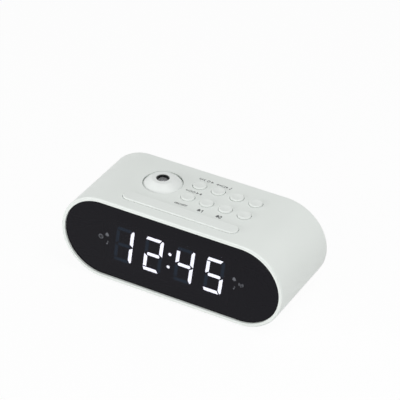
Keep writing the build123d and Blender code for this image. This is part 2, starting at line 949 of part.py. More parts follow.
# ================================================================ back cover
tray_inner_length = cell_length + cell_nub_length + contact_room
tray_inner_height = tongue_room + 4 * cell_radius + 3 * cell_gap
tray_center_x = tray_left + tray_wall + tray_inner_length / 2
tray_inner_bottom = wall + cover_fit + tray_floor_gap + tray_wall - case_height / 2
tray_inner_middle = tray_inner_bottom + tray_inner_height / 2
door_inner = cover_outer - door_thickness
door_opening_bottom = tray_inner_bottom + tongue_room
door_opening_height = tray_inner_height - tongue_room - door_landing
door_opening_middle = door_opening_bottom + door_opening_height / 2
main_board_top = base_thickness + main_board_lift + board_thickness
jack_rise = main_board_top + jack_body_height / 2 - case_height / 2
aerial_rise = jack_rise + aerial_hole_rise
cover_screw_points = [
    (side * cover_post_x, level * cover_post_z) for side in (-1, 1) for level in (-1, 1)
]
speaker_seat_radius = speaker_radius + speaker_fit
speaker_back = cover_inner - speaker_shelf
speaker_front = speaker_back - speaker_flange
speaker_screw_reach = speaker_seat_radius + screw_radius + screw_fit
speaker_screw_points = [
    (
        speaker_x + speaker_screw_reach * math.cos(math.radians(angle)),
        speaker_screw_reach * math.sin(math.radians(angle)),
    )
    for angle in speaker_screw_angles
]

with BuildPart() as rear_cover:
    with BuildSketch(from_front(cover_outer)):
        stadium(wall + cover_fit)
    extrude(amount=cover_thickness)
    # shelf, rim and screw posts that hold the speaker
    with BuildSketch(from_front(cover_inner)):
        with Locations((speaker_x, 0)):
            Circle(speaker_seat_radius + speaker_ring_wall)
        with Locations(*speaker_screw_points):
            Circle(post_radius)
    extrude(amount=speaker_shelf + speaker_flange)
    with BuildSketch(from_front(speaker_back)):
        with Locations((speaker_x, 0)):
            Circle(speaker_seat_radius)
    extrude(amount=speaker_flange, mode=Mode.SUBTRACT)
    with BuildSketch(from_front(cover_inner)):
        with Locations((speaker_x, 0)):
            Circle(speaker_seat_radius - speaker_shelf_width)
    extrude(amount=speaker_shelf, mode=Mode.SUBTRACT)
    with BuildSketch(from_front(speaker_front)):
        with Locations(*speaker_screw_points):
            Circle(pilot_radius)
    extrude(amount=-screw_length, mode=Mode.SUBTRACT)
    # battery tray behind the door
    with BuildSketch(from_front(cover_inner)):
        with Locations((tray_center_x, tray_inner_middle)):
            Rectangle(tray_inner_length + 2 * tray_wall, tray_inner_height + 2 * tray_wall)
    extrude(amount=cover_inner - tray_back + tray_wall)
    with BuildSketch(from_front(cover_inner)):
        with Locations((tray_center_x, tray_inner_middle)):
            Rectangle(tray_inner_length, tray_inner_height)
    extrude(amount=cover_inner - tray_back, mode=Mode.SUBTRACT)
    with BuildSketch(from_front(cover_outer)):
        with Locations((tray_center_x, door_opening_middle)):
            RectangleRounded(tray_inner_length, door_opening_height, door_corner)
    extrude(amount=cover_thickness, mode=Mode.SUBTRACT)
    # speaker grille: slots as long as the circle is wide at their height
    grille_rows = int((grille_radius - grille_slot) / grille_pitch)
    with BuildSketch(from_front(cover_outer)):
        for row in range(-grille_rows, grille_rows + 1):
            row_z = row * grille_pitch
            half_chord = math.sqrt(grille_radius**2 - row_z**2)
            slot_length = half_chord - grille_bar / 2
            slot_middle = (half_chord + grille_bar / 2) / 2
            with Locations((speaker_x - slot_middle, row_z), (speaker_x + slot_middle, row_z)):
                SlotOverall(slot_length, grille_slot)
    extrude(amount=cover_thickness, mode=Mode.SUBTRACT)
    # power inlet, aerial wire hole and counterbored screw holes
    with BuildSketch(from_front(cover_outer)):
        with Locations((jack_x, jack_rise)):
            Circle(jack_collar_radius + cover_fit)
        with Locations((jack_x, aerial_rise)):
            Circle(aerial_hole_radius)
        with Locations(*cover_screw_points):
            Circle(pilot_radius)
    extrude(amount=cover_thickness, mode=Mode.SUBTRACT)
    with BuildSketch(from_front(cover_outer)):
        with Locations(*cover_screw_points):
            Circle(screw_head_radius + counterbore_fit)
    extrude(amount=counterbore_depth, mode=Mode.SUBTRACT)
save(rear_cover, "rear_cover")

cover_screw_places = [
    Plane(
        origin=(x, front_y + cover_outer - counterbore_depth, middle_z + z),
        x_dir=(1, 0, 0),
        z_dir=(0, 1, 0),
    )
    for x, z in cover_screw_points
]
save(screws(cover_screw_places, screw_length), "rear_cover_screws")

# ================================================================ battery door, cells and contacts
door_length = tray_inner_length - 2 * door_fit
door_height = door_opening_height - 2 * door_fit
door_bottom = door_opening_bottom + door_fit
door_top = door_bottom + door_height
tongue_inner = tongue_outer - tongue_thickness
neck_height = tongue_reach / 2
tongue_xs = [tray_center_x - tongue_spread / 2, tray_center_x + tongue_spread / 2]
with BuildPart() as battery_door:
    with BuildSketch(from_front(cover_outer)):
        with Locations((tray_center_x, door_opening_middle)):
            RectangleRounded(door_length, door_height, door_corner)
    extrude(amount=door_thickness)
    # two tongues that reach under the cover below the opening
    with BuildSketch(from_front(tongue_outer)):
        with Locations(*[(x, door_bottom + (neck_height - tongue_reach) / 2) for x in tongue_xs]):
            Rectangle(tongue_width, neck_height + tongue_reach)
    extrude(amount=tongue_thickness)
    with BuildSketch(from_front(door_inner)):
        with Locations(*[(x, door_bottom + neck_height / 2) for x in tongue_xs]):
            Rectangle(tongue_width, neck_height)
    extrude(amount=door_inner - tongue_inner)
    # the catch, a short springy wall just inside the top edge
    with BuildSketch(from_front(door_inner)):
        with Locations((tray_center_x, door_top - latch_inset - latch_thickness / 2)):
            Rectangle(latch_width, latch_thickness)
    extrude(amount=door_inner - tongue_inner)
    # finger grips
    with BuildSketch(from_front(cover_outer)):
        for grip in range(grip_count):
            with Locations((tray_center_x, door_top - grip_inset - grip * grip_pitch)):
                SlotOverall(grip_width, grip_thickness)
    extrude(amount=-grip_height)
save(battery_door, "battery_door")

cell_zs = [
    door_opening_bottom + cell_gap + cell_radius,
    door_opening_bottom + 2 * cell_gap + 3 * cell_radius,
]


def along_tray(x, z, direction):
    """A plane across the tray at this x and height, facing along X in the given direction."""
    return Plane(
        origin=(x, front_y + cells_middle, middle_z + z),
        x_dir=(0, 1, 0),
        z_dir=(direction, 0, 0),
    )


with BuildPart() as battery_cells:
    for direction, cell_z in zip((1, -1), cell_zs):
        flat_end = tray_center_x - direction * (cell_length + cell_nub_length) / 2
        with BuildSketch(along_tray(flat_end, cell_z, direction)):
            Circle(cell_radius)
        extrude(amount=cell_length)
        with BuildSketch(along_tray(flat_end + direction * cell_length, cell_z, direction)):
            Circle(cell_nub_radius)
        extrude(amount=cell_nub_length)
save(battery_cells, "battery_cells")

with BuildPart() as battery_contacts:
    for side in (-1, 1):
        wall_x = tray_center_x + side * tray_inner_length / 2
        for cell_z in cell_zs:
            with BuildSketch(along_tray(wall_x, cell_z, -side)):
                Rectangle(contact_size, contact_size)
            extrude(amount=contact_thickness)
            with BuildSketch(along_tray(wall_x - side * contact_thickness, cell_z, -side)):
                Circle(contact_bump_radius)
            extrude(amount=contact_bump_height, taper=contact_bump_slope)
save(battery_contacts, "battery_contacts")

# ================================================================ speaker
speaker_inner = speaker_radius - speaker_flange_width
basket_front = speaker_front - speaker_basket_depth


def speaker_section():
    """The half plane through the speaker's axis: x is the radius and y the distance from the front rim."""
    return Plane(origin=(speaker_x, front_y, middle_z), x_dir=(1, 0, 0), z_dir=(0, 0, 1))


speaker_axis = Axis((speaker_x, 0, middle_z), (0, 1, 0))

with BuildPart() as speaker_frame:
    with BuildSketch(speaker_section()):
        with BuildLine():
            Polyline(
                (speaker_radius, speaker_back),
                (speaker_inner, speaker_back),
                (speaker_inner, speaker_front),
                (speaker_back_radius - speaker_basket_wall, basket_front + speaker_basket_wall),
                (cone_throat + speaker_basket_wall, basket_front + speaker_basket_wall),
                (cone_throat + speaker_basket_wall, basket_front),
                (speaker_back_radius, basket_front),
                (speaker_inner + speaker_basket_wall, speaker_front),
                (speaker_radius, speaker_front),
                close=True,
            )
        make_face()
    revolve(axis=speaker_axis)
    # windows in the basket, between its legs
    with BuildSketch(from_front(speaker_front - speaker_basket_wall)):
        with Locations((speaker_x, 0)):
            Circle(speaker_inner + speaker_basket_wall)
            Circle(speaker_back_radius, mode=Mode.SUBTRACT)
            with PolarLocations(speaker_inner, speaker_windows, start_angle=speaker_leg_angle):
                Rectangle(speaker_radius, speaker_leg_width, mode=Mode.SUBTRACT)
    extrude(amount=speaker_basket_depth - 2 * speaker_basket_wall, mode=Mode.SUBTRACT)
save(speaker_frame, "speaker_frame")

cone_rim = speaker_back + cone_thickness
cone_floor = speaker_back - cone_depth
with BuildPart() as speaker_cone:
    with BuildSketch(speaker_section()):
        with BuildLine():
            Polyline(
                (speaker_inner + cone_thickness, speaker_back),
                (speaker_inner + cone_thickness, cone_rim),
                (speaker_inner - 2 * cone_thickness, cone_rim),
                (cone_throat, cone_floor + cone_thickness),
                (cone_throat - cone_thickness, cone_floor),
                (cone_throat, cone_floor),
                (speaker_inner - cone_thickness, speaker_back),
                close=True,
            )
        make_face()
    revolve(axis=speaker_axis)
    # dust cap, and the voice coil that runs down to the magnet
    with BuildSketch(from_front(cone_floor)):
        with Locations((speaker_x, 0)):
            Circle(cone_throat)
    extrude(amount=-cap_height)
    cap_edges = speaker_cone.edges().filter_by(GeomType.CIRCLE)
    cap_rim = cap_edges.filter_by(lambda edge: abs(edge.radius - cone_throat) < cone_thickness / 2)
    fillet(cap_rim.sort_by(Axis.Y)[-1], cap_round)
    with BuildSketch(from_front(cone_floor)):
        with Locations((speaker_x, 0)):
            Circle(cone_throat - cone_thickness)
            Circle(cone_throat - 2 * cone_thickness, mode=Mode.SUBTRACT)
    extrude(amount=cone_floor - basket_front - cell_gap)
save(speaker_cone, "speaker_cone")

with BuildPart() as speaker_magnet:
    with BuildSketch(from_front(basket_front)):
        with Locations((speaker_x, 0)):
            Circle(magnet_radius)
    extrude(amount=magnet_height)
save(speaker_magnet, "speaker_magnet")

speaker_screw_places = [
    Plane(
        origin=(x, front_y + speaker_front, middle_z + z),
        x_dir=(1, 0, 0),
        z_dir=(0, -1, 0),
    )
    for x, z in speaker_screw_points
]
save(screws(speaker_screw_places, screw_length - screw_head_height), "speaker_screws")

# ================================================================ power inlet
with BuildPart() as dc_jack:
    with BuildSketch(from_front(cover_inner)):
        with Locations((jack_x, jack_rise)):
            Rectangle(jack_body_width, jack_body_height)
    extrude(amount=jack_body_length)
    with BuildSketch(from_front(cover_inner)):
        with Locations((jack_x, jack_rise)):
            Circle(jack_collar_radius)
    extrude(amount=-cover_thickness)
    with BuildSketch(from_front(cover_outer)):
        with Locations((jack_x, jack_rise)):
            Circle(jack_radius)
    extrude(amount=jack_bore_depth, mode=Mode.SUBTRACT)
save(dc_jack, "dc_jack")

with BuildPart() as jack_pin:
    with BuildSketch(from_front(cover_outer - jack_bore_depth)):
        with Locations((jack_x, jack_rise)):
            Circle(jack_pin_radius)
    extrude(amount=-jack_pin_length)
    fillet(jack_pin.edges().group_by(Axis.Y)[-1], jack_pin_radius / 2)
save(jack_pin, "jack_pin")

# ================================================================ base, feet and main board
main_board_length = base_length - 2 * main_board_side_margin
main_board_depth = base_width - 2 * main_board_margin
main_post_x = main_board_length / 2 - main_post_inset
main_post_y = main_board_depth / 2 - main_post_inset

with BuildPart() as base_cover:
    with BuildSketch(above_base(0)):
        with Locations((0, base_center_y)):
            RectangleRounded(base_length, base_width, base_corner)
    extrude(amount=base_thickness)
    with BuildSketch(above_base(base_thickness)):
        with Locations((0, base_center_y)):
            with GridLocations(2 * main_post_x, 2 * main_post_y, 2, 2):
                Circle(post_radius)
    extrude(amount=main_board_lift)
    # two stiffening ribs between the posts
    with BuildSketch(above_base(base_thickness)):
        with Locations((0, base_center_y - main_post_y), (0, base_center_y + main_post_y)):
            Rectangle(2 * main_post_x, base_rib_width)
    extrude(amount=base_rib_height)
    with BuildSketch(above_base(base_thickness + main_board_lift)):
        with Locations((0, base_center_y)):
            with GridLocations(2 * main_post_x, 2 * main_post_y, 2, 2):
                Circle(pilot_radius)
    extrude(amount=-main_board_lift, mode=Mode.SUBTRACT)
    underside = Plane(origin=(0, base_center_y, bottom_z), x_dir=(1, 0, 0), z_dir=(0, 0, -1))
    with Locations(underside.location):
        with GridLocations(2 * base_boss_x, 2 * base_boss_y, 2, 2):
            CounterSinkHole(pilot_radius, screw_head_radius, counter_sink_angle=countersink_angle)
save(base_cover, "base_cover")

with BuildPart() as base_screws:
    sink_depth = (screw_head_radius - screw_radius) / math.tan(math.radians(countersink_angle / 2))
    for x in (-base_boss_x, base_boss_x):
        for y in (-base_boss_y, base_boss_y):
            head_place = (x, base_center_y + y)
            with BuildSketch(Plane.XY.offset(bottom_z)):
                with Locations(head_place):
                    Circle(screw_head_radius - screw_fit)
            extrude(amount=sink_depth, taper=countersink_angle / 2)
            with BuildSketch(Plane.XY.offset(bottom_z)):
                with Locations(head_place):
                    Circle(screw_radius)
            extrude(amount=screw_length + base_thickness)
save(base_screws, "base_screws")

with BuildPart() as rubber_feet:
    with BuildSketch(Plane.XY):
        with Locations(*foot_places):
            Circle(foot_radius)
    extrude(amount=foot_standoff + foot_seat)
    fillet(rubber_feet.edges().group_by(Axis.Z)[0], foot_round)
save(rubber_feet, "rubber_feet")

board_plane_z = above_base(base_thickness + main_board_lift)
board_rear_y = base_center_y + main_board_depth / 2
tab_end_y = front_y + cover_inner - door_fit
with BuildPart() as main_board:
    with BuildSketch(board_plane_z):
        with Locations((0, base_center_y)):
            Rectangle(main_board_length, main_board_depth)
        with Locations((jack_x, (board_rear_y + tab_end_y) / 2)):
            Rectangle(main_board_tab, tab_end_y - board_rear_y)
        with Locations((0, base_center_y)):
            with GridLocations(2 * main_post_x, 2 * main_post_y, 2, 2):
                Circle(pilot_radius, mode=Mode.SUBTRACT)
    extrude(amount=board_thickness)
save(main_board, "main_board")

main_screw_places = [
    Plane.XY.offset(bottom_z + main_board_top).move(
        Location((x, base_center_y + y, 0))
    )
    for x in (-main_post_x, main_post_x)
    for y in (-main_post_y, main_post_y)
]
save(screws(main_screw_places, screw_length), "main_board_screws")

# ================================================================ board parts and ribbon
ribbon_top_y = base_center_y - ribbon_bend / 2
ribbon_foot_y = base_center_y + ribbon_bend / 2
header_top_depth = key_board_depth + key_board_thickness
main_board_face = above_base(main_board_top)
with BuildPart() as board_parts:
    with BuildSketch(main_board_face):
        with Locations((ribbon_x, ribbon_foot_y)):
            Rectangle(header_width, header_depth)
    extrude(amount=header_height)
    with BuildSketch(below_deck(header_top_depth)):
        with Locations((ribbon_x, ribbon_top_y)):
            Rectangle(header_width, header_depth)
    extrude(amount=-header_height)
    with BuildSketch(main_board_face):
        with Locations((projector_x / 2, base_center_y)):
            Rectangle(chip_length, chip_width)
    extrude(amount=chip_height)
    with BuildSketch(main_board_face):
        with Locations(
            (jack_x, base_center_y - capacitor_pitch / 2),
            (jack_x, base_center_y + capacitor_pitch / 2),
        ):
            Circle(capacitor_radius)
    extrude(amount=capacitor_height)
save(board_parts, "board_parts")

with BuildPart() as ribbon_cable:
    ribbon_top_z = top_z - header_top_depth - header_height
    ribbon_foot_z = bottom_z + main_board_top + header_height
    ribbon_middle_z = (ribbon_top_z + ribbon_foot_z) / 2
    with BuildSketch(Plane(origin=(ribbon_x, 0, 0), x_dir=(0, 1, 0), z_dir=(1, 0, 0))):
        with BuildLine():
            FilletPolyline(
                (ribbon_top_y, ribbon_top_z),
                (ribbon_top_y, ribbon_middle_z + ribbon_bend),
                (ribbon_foot_y, ribbon_middle_z - ribbon_bend),
                (ribbon_foot_y, ribbon_foot_z),
                radius=ribbon_bend,
            )
        trace(line_width=ribbon_thickness)
    extrude(amount=ribbon_width / 2, both=True)
save(ribbon_cable, "ribbon_cable")
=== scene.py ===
"""Projection alarm clock: finishes, printed signs, screws, camera and light for its CAD model."""

import math

import bmesh
import bpy
from mathutils import Matrix, Vector


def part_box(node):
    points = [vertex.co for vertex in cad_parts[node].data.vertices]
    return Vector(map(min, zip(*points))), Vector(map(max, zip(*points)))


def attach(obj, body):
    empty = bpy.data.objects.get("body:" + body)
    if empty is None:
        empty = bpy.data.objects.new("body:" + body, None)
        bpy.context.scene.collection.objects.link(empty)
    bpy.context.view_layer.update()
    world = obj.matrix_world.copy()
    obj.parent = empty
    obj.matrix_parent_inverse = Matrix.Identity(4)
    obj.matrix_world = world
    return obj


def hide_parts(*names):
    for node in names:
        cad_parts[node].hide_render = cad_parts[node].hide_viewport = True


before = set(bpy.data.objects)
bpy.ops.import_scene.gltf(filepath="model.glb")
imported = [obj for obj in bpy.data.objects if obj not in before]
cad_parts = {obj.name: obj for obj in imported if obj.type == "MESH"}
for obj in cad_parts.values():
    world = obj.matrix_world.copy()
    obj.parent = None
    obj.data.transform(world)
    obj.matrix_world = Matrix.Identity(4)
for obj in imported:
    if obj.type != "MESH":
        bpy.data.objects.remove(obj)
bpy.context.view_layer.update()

# ---------------------------------------------------------------- camera
# A long lens from the right front corner, above the deck, tipped a degree and a half.
# Angles are in degrees and lengths in millimetres; the lens looks at a point above the front rim.
mm = 0.001
scene = bpy.context.scene
camera_azimuth = math.radians(28.29)
camera_rise = math.radians(33.68)
camera_roll = math.radians(-1.39)
camera_distance = 1405
camera_target = Vector((23.3, -35.0, 95.2))

back = Vector((
    math.sin(camera_azimuth) * math.cos(camera_rise),
    -math.cos(camera_azimuth) * math.cos(camera_rise),
    math.sin(camera_rise),
))
level_right = Vector((math.cos(camera_azimuth), math.sin(camera_azimuth), 0))
level_up = back.cross(level_right)
right = level_right * math.cos(camera_roll) - level_up * math.sin(camera_roll)
up = level_right * math.sin(camera_roll) + level_up * math.cos(camera_roll)

camera_data = bpy.data.cameras.new("camera")
camera_data.sensor_width = 36
camera_data.lens = 185.94
camera_data.clip_end = 20
camera = bpy.data.objects.new("camera", camera_data)
scene.collection.objects.link(camera)
camera_place = (camera_target + back * camera_distance) * mm
camera.matrix_world = Matrix((
    (right.x, up.x, back.x, camera_place.x),
    (right.y, up.y, back.y, camera_place.y),
    (right.z, up.z, back.z, camera_place.z),
    (0, 0, 0, 1),
))
scene.camera = camera
scene.view_settings.view_transform = "Standard"

# ---------------------------------------------------------------- floor and light
# A sweep of white studio paper in a white room that is lit evenly, with soft lamps low at the
# left, at the right, above and in front. Paper and room show as plain white to the camera, and
# in whatever shines or lets light through.
def add_shader(tree, kind, **inputs):
    """Adds a shader node of this kind and sets the named inputs."""
    node = tree.nodes.new(kind)
    for name, value in inputs.items():
        node.inputs[name].default_value = value
    return node


def calculate(tree, operation, first, second):
    """A Math node on two values, each a socket or a number."""
    math_node = tree.nodes.new("ShaderNodeMath")
    math_node.operation = operation
    for place, value in enumerate((first, second)):
        if isinstance(value, bpy.types.NodeSocket):
            tree.links.new(value, math_node.inputs[place])
        else:
            math_node.inputs[place].default_value = value
    return math_node.outputs[0]


def show_white(tree, lighting, showing, share, output_kind):
    """Lighting is what lights the clock; camera, gloss and glass see this share of showing."""
    path = tree.nodes.new("ShaderNodeLightPath")
    seen = path.outputs["Is Camera Ray"]
    for flag in ("Is Glossy Ray", "Is Transmission Ray"):
        seen = calculate(tree, "MAXIMUM", seen, path.outputs[flag])
    mix = tree.nodes.new("ShaderNodeMixShader")
    tree.links.new(calculate(tree, "MULTIPLY", seen, share), mix.inputs["Fac"])
    tree.links.new(lighting.outputs[0], mix.inputs[1])
    tree.links.new(showing.outputs[0], mix.inputs[2])
    output = tree.nodes.new(output_kind)
    tree.links.new(mix.outputs[0], output.inputs["Surface"])


white = (1, 1, 1, 1)
paper = bpy.data.materials.new("studio_paper")
paper.use_nodes = True
paper_tree = paper.node_tree
paper_tree.nodes.clear()
paper_diffuse = add_shader(paper_tree, "ShaderNodeBsdfDiffuse", Color=(0.9, 0.9, 0.9, 1))
paper_white = add_shader(paper_tree, "ShaderNodeEmission", Color=white, Strength=1.0)
# a little of the lit paper stays in the picture, and with it the clock's shadow
paper_white_share = 0.94
show_white(paper_tree, paper_diffuse, paper_white, paper_white_share, "ShaderNodeOutputMaterial")

# in metres; the paper lies a hair below the feet
sweep_half = 4.0
sweep_drop = 0.00002
sweep_corners = [
    (sweep_half * x, sweep_half * y, -sweep_drop) for x, y in ((-1, -1), (1, -1), (1, 1), (-1, 1))
]
sweep_mesh = bpy.data.meshes.new("floor")
sweep_mesh.from_pydata(sweep_corners, [], [(0, 1, 2, 3)])
sweep = bpy.data.objects.new("floor", sweep_mesh)
scene.collection.objects.link(sweep)
sweep.data.materials.append(paper)

room_strength = 0.34
world = bpy.data.worlds.new("studio")
scene.world = world
world.use_nodes = True
world_tree = world.node_tree
world_tree.nodes.clear()
room_light = add_shader(world_tree, "ShaderNodeBackground", Color=white, Strength=room_strength)
room_white = add_shader(world_tree, "ShaderNodeBackground", Color=white, Strength=1.0)
show_white(world_tree, room_light, room_white, 1.0, "ShaderNodeOutputWorld")


def soft_lamp(name, place, size, watts, glare=True):
    """A square lamp that faces the clock; without glare it isn't mirrored in what it lights."""
    lamp_data = bpy.data.lights.new(name, "AREA")
    lamp_data.size = size
    lamp_data.energy = watts
    lamp = bpy.data.objects.new(name, lamp_data)
    lamp.location = place
    lamp.rotation_euler = Vector(place).to_track_quat("Z", "Y").to_euler()
    lamp.visible_glossy = glare
    scene.collection.objects.link(lamp)


soft_lamp("low_left_lamp", place=(-1.5, -1.2, 0.35), size=0.6, watts=15.3, glare=False)
soft_lamp("right_lamp", place=(0.62, -0.18, 0.88), size=0.6, watts=4.0)
soft_lamp("top_lamp", place=(0.3, -0.1, 1.1), size=0.6, watts=2.2)
soft_lamp("front_lamp", place=(0, -0.9, 0.14), size=0.4, watts=1.6, glare=False)

# ---------------------------------------------------------------- case
# The one-piece tube, the screwed-on back, the base and the battery door are injection-moulded
# white ABS. The mould is spark-eroded, which leaves a fine, even grain and a soft sheen.
def new_material(name, roughness, metallic=0.0, ior=1.5):
    """A Principled material; returns it with its node tree and its shader."""
    material = bpy.data.materials.new(name)
    material.use_nodes = True
    shader = material.node_tree.nodes["Principled BSDF"]
    shader.inputs["Roughness"].default_value = roughness
    shader.inputs["Metallic"].default_value = metallic
    shader.inputs["IOR"].default_value = ior
    return material, material.node_tree, shader


def dress(material, *names):
    """Gives a material to all the faces of these CAD nodes."""
    for name in names:
        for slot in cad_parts[name].material_slots:
            slot.material = material


def noise(tree, per_metre, detail=2.0):
    """Noise that is fixed to the object; a socket or a number gives its grains per metre."""
    place = tree.nodes.new("ShaderNodeTexCoord")
    texture = tree.nodes.new("ShaderNodeTexNoise")
    texture.inputs["Detail"].default_value = detail
    tree.links.new(place.outputs["Object"], texture.inputs["Vector"])
    if isinstance(per_metre, bpy.types.NodeSocket):
        tree.links.new(per_metre, texture.inputs["Scale"])
    else:
        texture.inputs["Scale"].default_value = per_metre
    return texture.outputs["Fac"]


def spread(tree, value, low, high):
    """Stretches the middle of a noise over a range."""
    stretch = tree.nodes.new("ShaderNodeMapRange")
    stretch.inputs["From Min"].default_value = 0.3
    stretch.inputs["From Max"].default_value = 0.7
    stretch.inputs["To Min"].default_value = low
    stretch.inputs["To Max"].default_value = high
    tree.links.new(value, stretch.inputs["Value"])
    return stretch.outputs["Result"]


def shade(tree, color, factor):
    """A colour, given as a socket or as three numbers, times a value."""
    scale = tree.nodes.new("ShaderNodeVectorMath")
    scale.operation = "SCALE"
    if isinstance(color, bpy.types.NodeSocket):
        tree.links.new(color, scale.inputs[0])
    else:
        scale.inputs[0].default_value = color
    tree.links.new(factor, scale.inputs["Scale"])
    return scale.outputs["Vector"]


def raise_surface(tree, shader, height, distance):
    """Bumps a surface by a height map; the distance is in metres."""
    bump = tree.nodes.new("ShaderNodeBump")
    bump.inputs["Strength"].default_value = 0.6
    bump.inputs["Distance"].default_value = distance
    tree.links.new(height, bump.inputs["Height"])
    tree.links.new(bump.outputs["Normal"], shader.inputs["Normal"])


def build_mould_grain():
    """Node group: the fine grain of a moulded surface, as colour, roughness and height."""
    tree = bpy.data.node_groups.new("mould_grain", "ShaderNodeTree")
    sockets = tree.interface
    sockets.new_socket(name="Color", in_out="INPUT", socket_type="NodeSocketColor")
    sockets.new_socket(name="Roughness", in_out="INPUT", socket_type="NodeSocketFloat")
    sockets.new_socket(name="Grains per metre", in_out="INPUT", socket_type="NodeSocketFloat")
    sockets.new_socket(name="Color", in_out="OUTPUT", socket_type="NodeSocketColor")
    sockets.new_socket(name="Roughness", in_out="OUTPUT", socket_type="NodeSocketFloat")
    sockets.new_socket(name="Height", in_out="OUTPUT", socket_type="NodeSocketFloat")
    source = tree.nodes.new("NodeGroupInput")
    result = tree.nodes.new("NodeGroupOutput")
    grain = noise(tree, source.outputs["Grains per metre"])
    # the tone drifts a little, as resin flows in the mould
    drift = spread(tree, noise(tree, per_metre=28.0, detail=1.0), 0.985, 1.01)
    tree.links.new(shade(tree, source.outputs["Color"], drift), result.inputs["Color"])
    uneven = spread(tree, grain, -0.04, 0.04)
    roughness = calculate(tree, "ADD", source.outputs["Roughness"], uneven)
    tree.links.new(roughness, result.inputs["Roughness"])
    tree.links.new(grain, result.inputs["Height"])
    return tree


mould_grain = build_mould_grain()


def moulded(name, color, roughness, grains_per_metre, grain_height):
    """A moulded plastic with its own colour, sheen and grain; the height is in metres."""
    material, tree, shader = new_material(name, roughness)
    grain = tree.nodes.new("ShaderNodeGroup")
    grain.node_tree = mould_grain
    grain.inputs["Color"].default_value = (*color, 1)
    grain.inputs["Roughness"].default_value = roughness
    grain.inputs["Grains per metre"].default_value = grains_per_metre
    tree.links.new(grain.outputs["Color"], shader.inputs["Base Color"])
    tree.links.new(grain.outputs["Roughness"], shader.inputs["Roughness"])
    raise_surface(tree, shader, grain.outputs["Height"], grain_height)
    return material


case_plastic = moulded(
    "case_plastic",
    color=(0.785, 0.822, 0.793),
    roughness=0.42,
    grains_per_metre=3500,
    grain_height=0.00002,
)
dress(case_plastic, "housing", "rear_cover", "battery_door", "base_cover")

# ---------------------------------------------------------------- window
# One sheet of smoked acrylic, glued behind the rim. Its anti-glare coat mirrors less than bare
# acrylic does, and it is dark enough to hide the black mask behind it until the display is lit.
smoke, smoke_tree, smoke_shader = new_material("smoked_acrylic", roughness=0.02, ior=1.33)
smoke_shader.inputs["Base Color"].default_value = (0.03, 0.03, 0.033, 1)
smoke_shader.inputs["Specular Tint"].default_value = (0.53, 0.51, 0.65, 1)
smoke_shader.inputs["Transmission Weight"].default_value = 1.0
smoke_polish = spread(smoke_tree, noise(smoke_tree, per_metre=60.0), 0.01, 0.03)
smoke_tree.links.new(smoke_polish, smoke_shader.inputs["Roughness"])
dress(smoke, "front_window")

# ---------------------------------------------------------------- signs on the window
# Small indicator signs, screen-printed in pale grey at both ends of the display:
# a bell for each alarm, a dial for sleep, a mast for the radio and a note for music.
# Places and sizes of signs, and these of the film of ink, are in millimetres.
ink_lift = 0.006
ink_thickness = 0.02


def add_patch(sign, outline):
    """A filled outline, given counter-clockwise."""
    sign.faces.new([sign.verts.new((x, y, 0)) for x, y in outline])


def arc_points(center, radius, start, end, steps):
    """Points along part of a circle, between two angles in degrees."""
    points = []
    for step in range(steps + 1):
        turn = math.radians(start + (end - start) * step / steps)
        points.append((center[0] + radius * math.cos(turn), center[1] + radius * math.sin(turn)))
    return points


def add_disc(sign, center, radius):
    """A filled circle of 24 corners."""
    add_patch(sign, arc_points(center, radius, 0, 345, 23))


def add_arc(sign, center, radius, width, start, end):
    """Part of a ring, between two angles in degrees."""
    steps = 28
    inner = arc_points(center, radius - width / 2, start, end, steps)
    outer = arc_points(center, radius + width / 2, start, end, steps)
    for near, far, next_near, next_far in zip(inner, outer, inner[1:], outer[1:]):
        add_patch(sign, [near, far, next_far, next_near])


def add_line(sign, points, width):
    """A line with round ends and corners."""
    for (x0, y0), (x1, y1) in zip(points, points[1:]):
        length = math.hypot(x1 - x0, y1 - y0)
        side_x = -(y1 - y0) / length * width / 2
        side_y = (x1 - x0) / length * width / 2
        start_edge = [(x0 + side_x, y0 + side_y), (x0 - side_x, y0 - side_y)]
        end_edge = [(x1 - side_x, y1 - side_y), (x1 + side_x, y1 + side_y)]
        add_patch(sign, start_edge + end_edge)
    for point in points:
        add_disc(sign, point, width / 2)


def draw_bell(sign, x, y, size):
    """An alarm bell: a dome on a flared lip, with a knob above and a clapper under it."""
    lip = [(x - size * 0.46, y - size * 0.30), (x + size * 0.46, y - size * 0.30)]
    dome = [(x + u, y + v) for u, v in arc_points((0, size * 0.12), size * 0.32, 0, 180, 12)]
    add_patch(sign, lip + dome)
    add_disc(sign, (x, y - size * 0.40), size * 0.11)
    add_disc(sign, (x, y + size * 0.47), size * 0.08)


def draw_dial(sign, x, y, size):
    """A clock dial with two hands."""
    add_arc(sign, (x, y), size * 0.42, size * 0.14, 0, 360)
    add_line(sign, [(x, y + size * 0.25), (x, y), (x + size * 0.17, y - size * 0.08)], size * 0.12)


def draw_note(sign, x, y, size):
    """A music note."""
    add_disc(sign, (x - size * 0.12, y - size * 0.32), size * 0.18)
    stem_foot = (x + size * 0.03, y - size * 0.30)
    stem_top = (x + size * 0.03, y + size * 0.42)
    flag_end = (x + size * 0.26, y + size * 0.18)
    add_line(sign, [stem_foot, stem_top], size * 0.11)
    add_line(sign, [stem_top, flag_end], size * 0.14)


def draw_mast(sign, x, y, size):
    """A radio mast with two waves to each side."""
    add_line(sign, [(x, y - size * 0.42), (x, y + size * 0.10)], size * 0.12)
    add_disc(sign, (x, y + size * 0.12), size * 0.12)
    for reach in (0.28, 0.46):
        for side in (0, 180):
            add_arc(sign, (x, y + size * 0.12), size * reach, size * 0.10, side - 48, side + 48)


